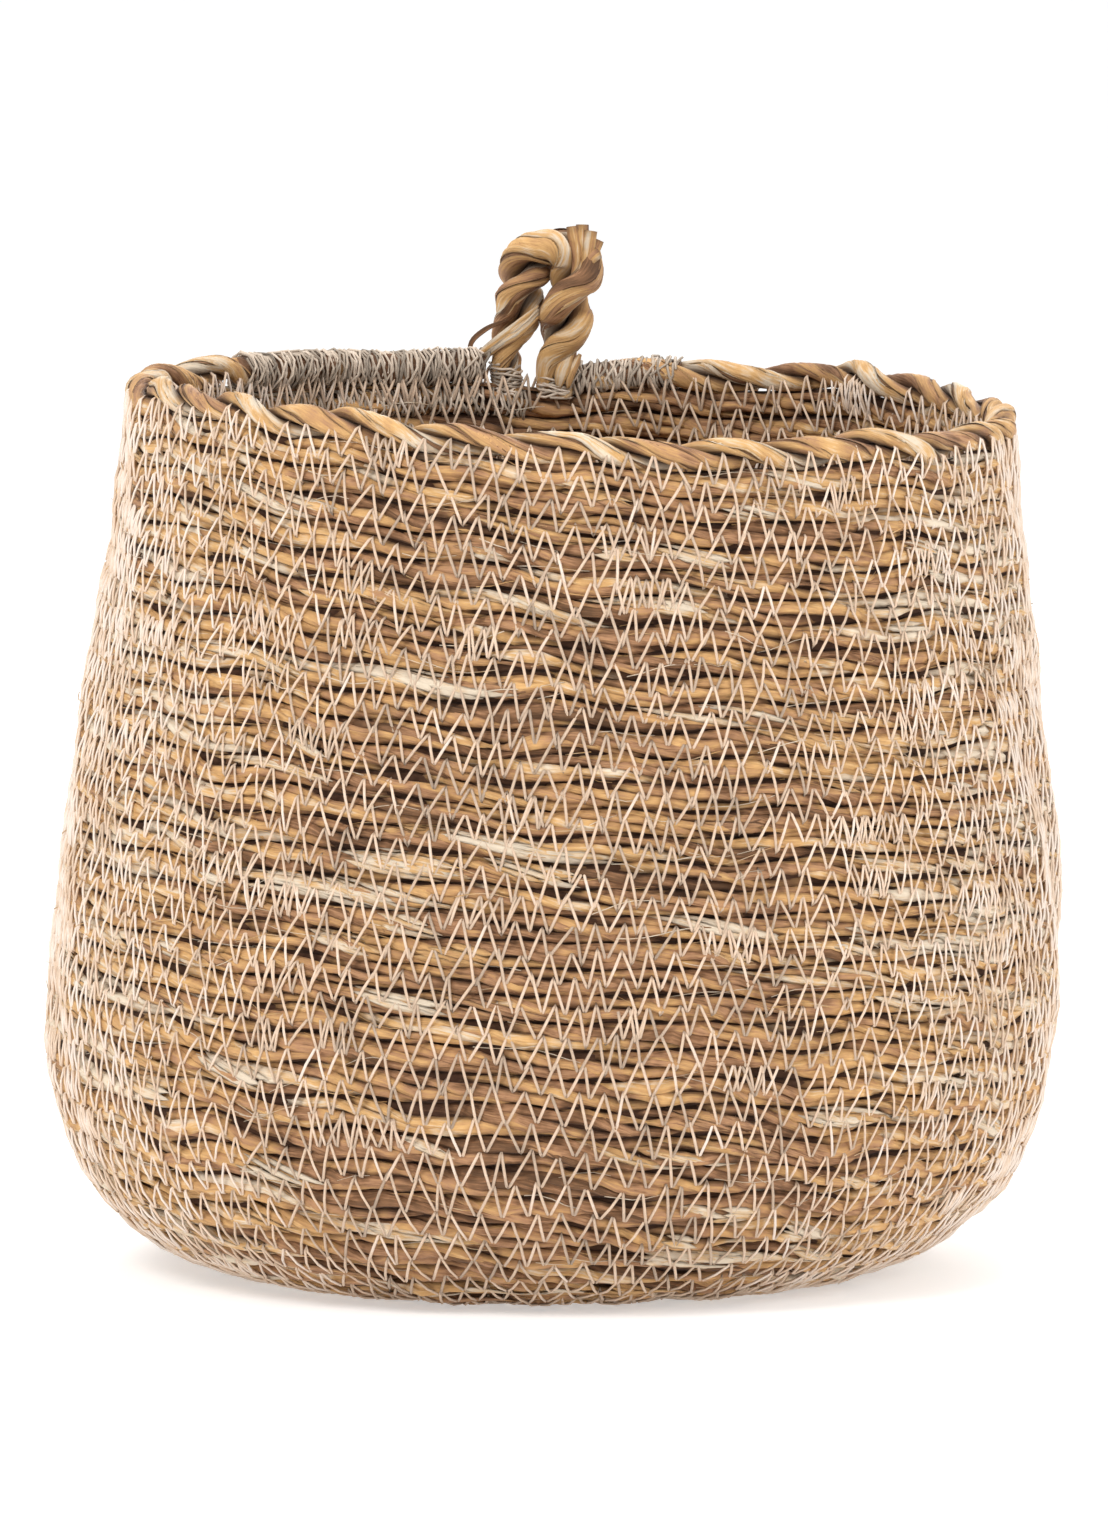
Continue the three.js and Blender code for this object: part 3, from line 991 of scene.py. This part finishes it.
def smooth_route(points, spacing):
    """A Catmull-Rom curve through the points, cut into even steps."""
    points = np.array(points, float)
    padded = np.concatenate([[2 * points[0] - points[1]], points, [2 * points[-1] - points[-2]]])
    t = np.linspace(0, 1, 24, endpoint=False)[:, None]
    curve = []
    for a, b, c, d in zip(padded, padded[1:], padded[2:], padded[3:]):
        curve.append(0.5 * (2 * b + (c - a) * t + (2 * a - 5 * b + 4 * c - d) * t ** 2
                            + (3 * b - a - 3 * c + d) * t ** 3))
    curve = np.concatenate(curve + [points[-1:]])
    arc = running_total(np.linalg.norm(np.diff(curve, axis=0), axis=1))
    even = np.linspace(0, arc[-1], int(arc[-1] / spacing))
    return np.stack([np.interp(even, arc, curve[:, axis]) for axis in range(3)], -1), even


def from_axis(points):
    return [(x, LOOP_AXIS[1] + y, LOOP_AXIS[2] + z) for x, y, z in points]


def loop_frame():
    """The loop's centre line with a frame that faces front."""
    route, distance = smooth_route(from_axis(LOOP_ROUTE), 0.9)
    tangent = unit(np.gradient(route, axis=0))
    outwards = unit(np.cross(tangent, np.array([0.0, 1.0, 0.0])))
    return route, distance, outwards, np.cross(outwards, tangent)


def loop_place(share, across, along):
    """A point round the loop's centre line: share runs from the left root to the right one."""
    route, distance, outwards, depth = loop_frame()
    at = np.asarray(share) * distance[-1]

    def at_share(values):
        return np.stack([np.interp(at, distance, values[:, axis]) for axis in range(3)], -1)

    return at_share(route) + across[..., None] * at_share(depth) + along[..., None] * at_share(outwards)


def loop_strand(phase_start, seed, tones, spread):
    """One strand of the loop: thin at its feet and thickest over the top."""
    distance = loop_frame()[1]
    share = distance / distance[-1]

    def place(across, along):
        return loop_place(share[:, None], across, along)

    phase = phase_start + TAU * LOOP_TWISTS * share + 0.3 * drift(91, distance, 40)
    ring = 0.72 + 0.3 * ramp(share, 0.05, 0.2) + 0.32 * ramp(share, 0.18, 0.34)
    ring = ring - 0.4 * ramp(share, 0.8, 0.97)
    return strand_mesh(Twist(place, distance, phase, LOOP_OVAL, ring), seed, tones, spread)


def add_ribbon(fibres, points, width, thickness, tone, seed, cut=0.0):
    """A loose flat leaf along a few points, thinner towards both ends, or cut off square at its end."""
    route, distance = smooth_route(from_axis(points), 1.2)
    share = distance / distance[-1]
    tangent = unit(np.gradient(route, axis=0))
    side = unit(np.cross(tangent, np.array([0.15, -1.0, 0.2])))
    front = np.cross(side, tangent)
    angle = ring_angles(LEAF_SIDES)[None]
    taper = np.sqrt(np.sin(math.pi * np.clip(share * (1 - 0.5 * cut), 0.04, 0.96)))[:, None]
    crease = 0.35 * np.cos(2 * angle + 2 * drift(seed, distance, 25)[:, None])
    across = width / 2 * taper * np.sin(angle)
    out = thickness / 2 * taper * (np.cos(angle) + crease)
    rings = route[:, None] + out[..., None] * front[:, None] + across[..., None] * side[:, None]
    shade = tone + 0.15 * np.sin(3 * angle + seed)
    # Painted shade along the leaf's edges; a cut leaf is also darkened towards its cut end
    gap = 0.3 * np.abs(np.sin(angle)) ** 4 + 0.6 * cut * ramp(share, 0.86, 1)[:, None]
    fibres.add(rings, shade, gap, start=seed, width=10)


def loop_binding():
    """Thread bound round the two feet of the loop."""
    fibres = Fibres()
    rng = np.random.default_rng(17)
    total = loop_frame()[1][-1]
    for low, high, radius in LOOP_FEET:
        run = (high - low) * total

        def place(share, across, along):
            return loop_place(low + (high - low) * share, across, along)

        for pitch, slant in FOOT_LAYERS:
            share = np.linspace(0.02, 0.98, int(run / pitch * 10))
            add_winding(fibres, place, share, radius, pitch, run, rng, slant)
    return fibres


def golden_strand():
    """The loop's golden strand, with the cut ends that stand out of its top."""
    strand = loop_strand(LOOP_START, 71, (0.68, 0.56, 0.72), 1.15)
    for i, (x, depth, z, tone) in enumerate(LOOP_ENDS):
        route = ((4 + 0.3 * x, depth, 28), (4 + 0.55 * x, depth - 1, 35), (x, depth, z))
        add_ribbon(strand, route, 4.2, 1.9, tone, 20 + i, cut=1.0)
    return strand


def striped_strand():
    """The loop's striped strand, with the loose leaves at its feet."""
    strand = loop_strand(LOOP_START + math.pi, 83, (0.64, 0.22, 0.74, 0.88, 0.46), 0.75)
    for i, (shift, tone) in enumerate(LOOP_STRIPES):
        low = ((-25 + shift, -3, 2), (-19 + shift, -5.5, 7))
        high = ((-12, -6.3, 12 - shift), (-5, -4.5, 18 - shift))
        add_ribbon(strand, low + high, 2.6, 1.0, tone, 4 + i)
    for leaf in LOOP_LEAVES:
        add_ribbon(strand, *leaf)
    return strand


# ---------------------------------------------------------------- operators

class BASKET_OT_coil(bpy.types.Operator):
    """Winds the stems of every rope length, from the base to the tapered end"""

    bl_idname = "basket.coil"
    bl_label = "Wind the coil"

    def execute(self, context):
        material = plant_material("Dry grass stems", 0.36, 0.65, 0.85, 0.9)
        for name, *stretch in rope_lengths():
            rope_mesh(*stretch).finish(name + "_stems", "basket", "grass_rope", material, name)
        return {"FINISHED"}


class BASKET_OT_stitch(bpy.types.Operator):
    """Sews every row of zigzag, outside and inside"""

    bl_idname = "basket.stitch"
    bl_label = "Sew the zigzag"

    def execute(self, context):
        c = colours()
        material = thread_material("Sewing thread", darkened(c.thread, 0.5), c.thread, c.pale_and_sheen_thread)
        for first in range(FIRST_SEWN_TURN, LAST_TURN + 1):
            rows = thread_rows(first, first + 1, lower_edge, 500 + first)
            rows.finish(f"zigzag_{first:02d}", "basket", "wrapping_thread", material)
        rim = thread_rows(LAST_TURN, LAST_TURN + RIM_SEWN, rim_seam, 900)
        rim.finish("zigzag_rim", "basket", "wrapping_thread", material)
        return {"FINISHED"}


class BASKET_OT_rim(bpy.types.Operator):
    """Twists the rim's two strands and winds its thread-wrapped stretches"""

    bl_idname = "basket.rim"
    bl_label = "Close the rim"

    def execute(self, context):
        leaf = plant_material("Folded leaf", 0.38, 0.58, 1.0, 0.75)
        c = colours()
        thread = thread_material("Wrapping thread", darkened(c.wrapping, 0.3), c.wrapping, c.pale_and_sheen_thread)
        leafy = rim_strand(0.0, 31, (0.52, 0.36, 0.56), 0.4)
        leafy.finish("rim_leaf", "basket", "leaf_strand", leaf, "rim_strand_leaf")
        husky = rim_strand(math.pi, 47, (0.76, 0.88, 0.6), 0.3)
        husky.finish("rim_husk", "basket", "pale_strand", leaf, "rim_strand_pale")
        wraps = (("rim_end", END_WRAP, END_WRAP_RADIUS), ("rim_start", SHORT_WRAP, RIM_ROPE_RADIUS))
        for name, stretch, radius in wraps:
            first, last = (LAST_TURN + share for share in stretch)
            wrap_core(first, last, radius, 60).finish(name + "_core", "basket", "pale_strand", leaf)

            def above_rope(turn):
                return upper_edge(turn) + radius - WRAP_SINK

            winding = wrap(first, last, above_rope, radius - 0.35, RIM_LAYERS, 61)
            winding.finish(name + "_winding", "basket", "wrapping_thread", thread, name + "_wrap")
        first, last = (LAST_TURN + share for share in ROW_WRAP)
        below = wrap(first, last, rope_middle, ROPE_THICKNESS / 2 + 0.35, ROW_LAYERS, 62)
        below.finish("row_winding", "basket", "wrapping_thread", thread)
        return {"FINISHED"}


class BASKET_OT_loop(bpy.types.Operator):
    """Twists the hanging loop, binds its feet and leaves its cut ends standing out"""

    bl_idname = "basket.loop"
    bl_label = "Twist the loop"

    def execute(self, context):
        leaf = bpy.data.materials["Folded leaf"]
        thread = bpy.data.materials["Wrapping thread"]
        pieces = (
            golden_strand().finish("loop_leaf", None, "leaf_strand", leaf,
                                   "loop_strand_leaf", "loop_tail_01", "loop_tail_02"),
            striped_strand().finish("loop_husk", None, "pale_strand", leaf, "loop_strand_pale"),
            loop_binding().finish("loop_binding", None, "wrapping_thread", thread,
                                  "loop_root_left", "loop_root_right"),
        )
        for piece in pieces:
            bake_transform(piece)
        return {"FINISHED"}


class BASKET_OT_stage(bpy.types.Operator):
    """Sets up the floor, the studio lights and the camera"""

    bl_idname = "basket.stage"
    bl_label = "Set the stage"

    def execute(self, context):
        add_floor()
        add_lights()
        add_camera()
        return {"FINISHED"}


def add_floor():
    bpy.ops.object.select_all(action="DESELECT")
    bpy.ops.mesh.primitive_plane_add(size=FLOOR_SIZE, location=(0, FLOOR_SHIFT, 0))
    floor = bpy.context.object
    floor.name = "studio_floor"
    bpy.ops.object.transform_apply(location=True, rotation=True, scale=True)
    material, _, shader = new_material("Studio floor", 0.9, specular=0.1)
    shader.inputs["Base Color"].default_value = (FLOOR_WHITE, FLOOR_WHITE, FLOOR_WHITE, 1)
    shader.inputs["Emission Color"].default_value = (1, 1, 1, 1)
    shader.inputs["Emission Strength"].default_value = FLOOR_GLOW
    floor.data.materials.append(material)


def aim(thing, place, target):
    thing.rotation_euler = (Vector(target) - Vector(place)).to_track_quat("-Z", "Y").to_euler()


def add_lights():
    """Six soft lamps and a white world, brighter to the camera than as a light."""
    world = bpy.data.worlds.new("Studio white")
    world.use_nodes = True
    background = world.node_tree.nodes["Background"]
    seen = world.node_tree.nodes.new("ShaderNodeLightPath").outputs["Is Camera Ray"]
    strength = math_node(world.node_tree, "MULTIPLY_ADD", seen, 1 - WORLD_LIGHT)
    strength.node.inputs[2].default_value = WORLD_LIGHT
    link(world.node_tree, strength, background.inputs["Strength"])
    background.inputs["Color"].default_value = (1, 1, 1, 1)
    bpy.context.scene.world = world
    for name, place, size, power in LAMPS:
        bpy.ops.object.light_add(type="AREA", location=place)
        light = bpy.context.object
        light.name = name
        light.data.shape = "SQUARE"
        light.data.size = size
        light.data.energy = power
        aim(light, place, LAMP_TARGET)
    bpy.context.scene.view_settings.view_transform = "Standard"


def add_camera():
    """A long lens from a little above the rim, at the height that looks just over its front edge."""
    elevation = math.radians(CAMERA_ELEVATION)
    away = Vector((0, -math.cos(elevation), math.sin(elevation)))
    place = Vector(CAMERA_AIM) + CAMERA_DISTANCE * away
    bpy.ops.object.camera_add(location=place)
    camera = bpy.context.object
    camera.name = "studio_camera"
    aim(camera, place, CAMERA_AIM)
    camera.data.lens = CAMERA_LENS
    camera.data.sensor_width = CAMERA_SENSOR
    camera.data.clip_end = CAMERA_REACH
    bpy.context.scene.camera = camera


class BASKET_PT_panel(bpy.types.Panel):
    """Lists the steps of the basket"""

    bl_label = "Coiled basket"
    bl_idname = "BASKET_PT_panel"
    bl_space_type = "VIEW_3D"
    bl_region_type = "UI"
    bl_category = "Basket"

    def draw(self, context):
        for group in (context.scene.basket_sizes, context.scene.basket_colours):
            for name in group.__annotations__:
                self.layout.prop(group, name)
        for step in STEPS:
            self.layout.operator(step.bl_idname)


STEPS = (BASKET_OT_coil, BASKET_OT_stitch, BASKET_OT_rim, BASKET_OT_loop, BASKET_OT_stage)
CLASSES = (BasketSizes, BasketColours, *STEPS, BASKET_PT_panel)


def register():
    for each in CLASSES:
        bpy.utils.register_class(each)
    bpy.types.Scene.basket_sizes = PointerProperty(type=BasketSizes)
    bpy.types.Scene.basket_colours = PointerProperty(type=BasketColours)


def unregister():
    del bpy.types.Scene.basket_sizes
    del bpy.types.Scene.basket_colours
    for each in reversed(CLASSES):
        bpy.utils.unregister_class(each)


def main():
    register()
    bpy.ops.basket.coil()
    bpy.ops.basket.stitch()
    bpy.ops.basket.rim()
    bpy.ops.basket.loop()
    bpy.ops.basket.stage()


if __name__ == "__main__":
    main()
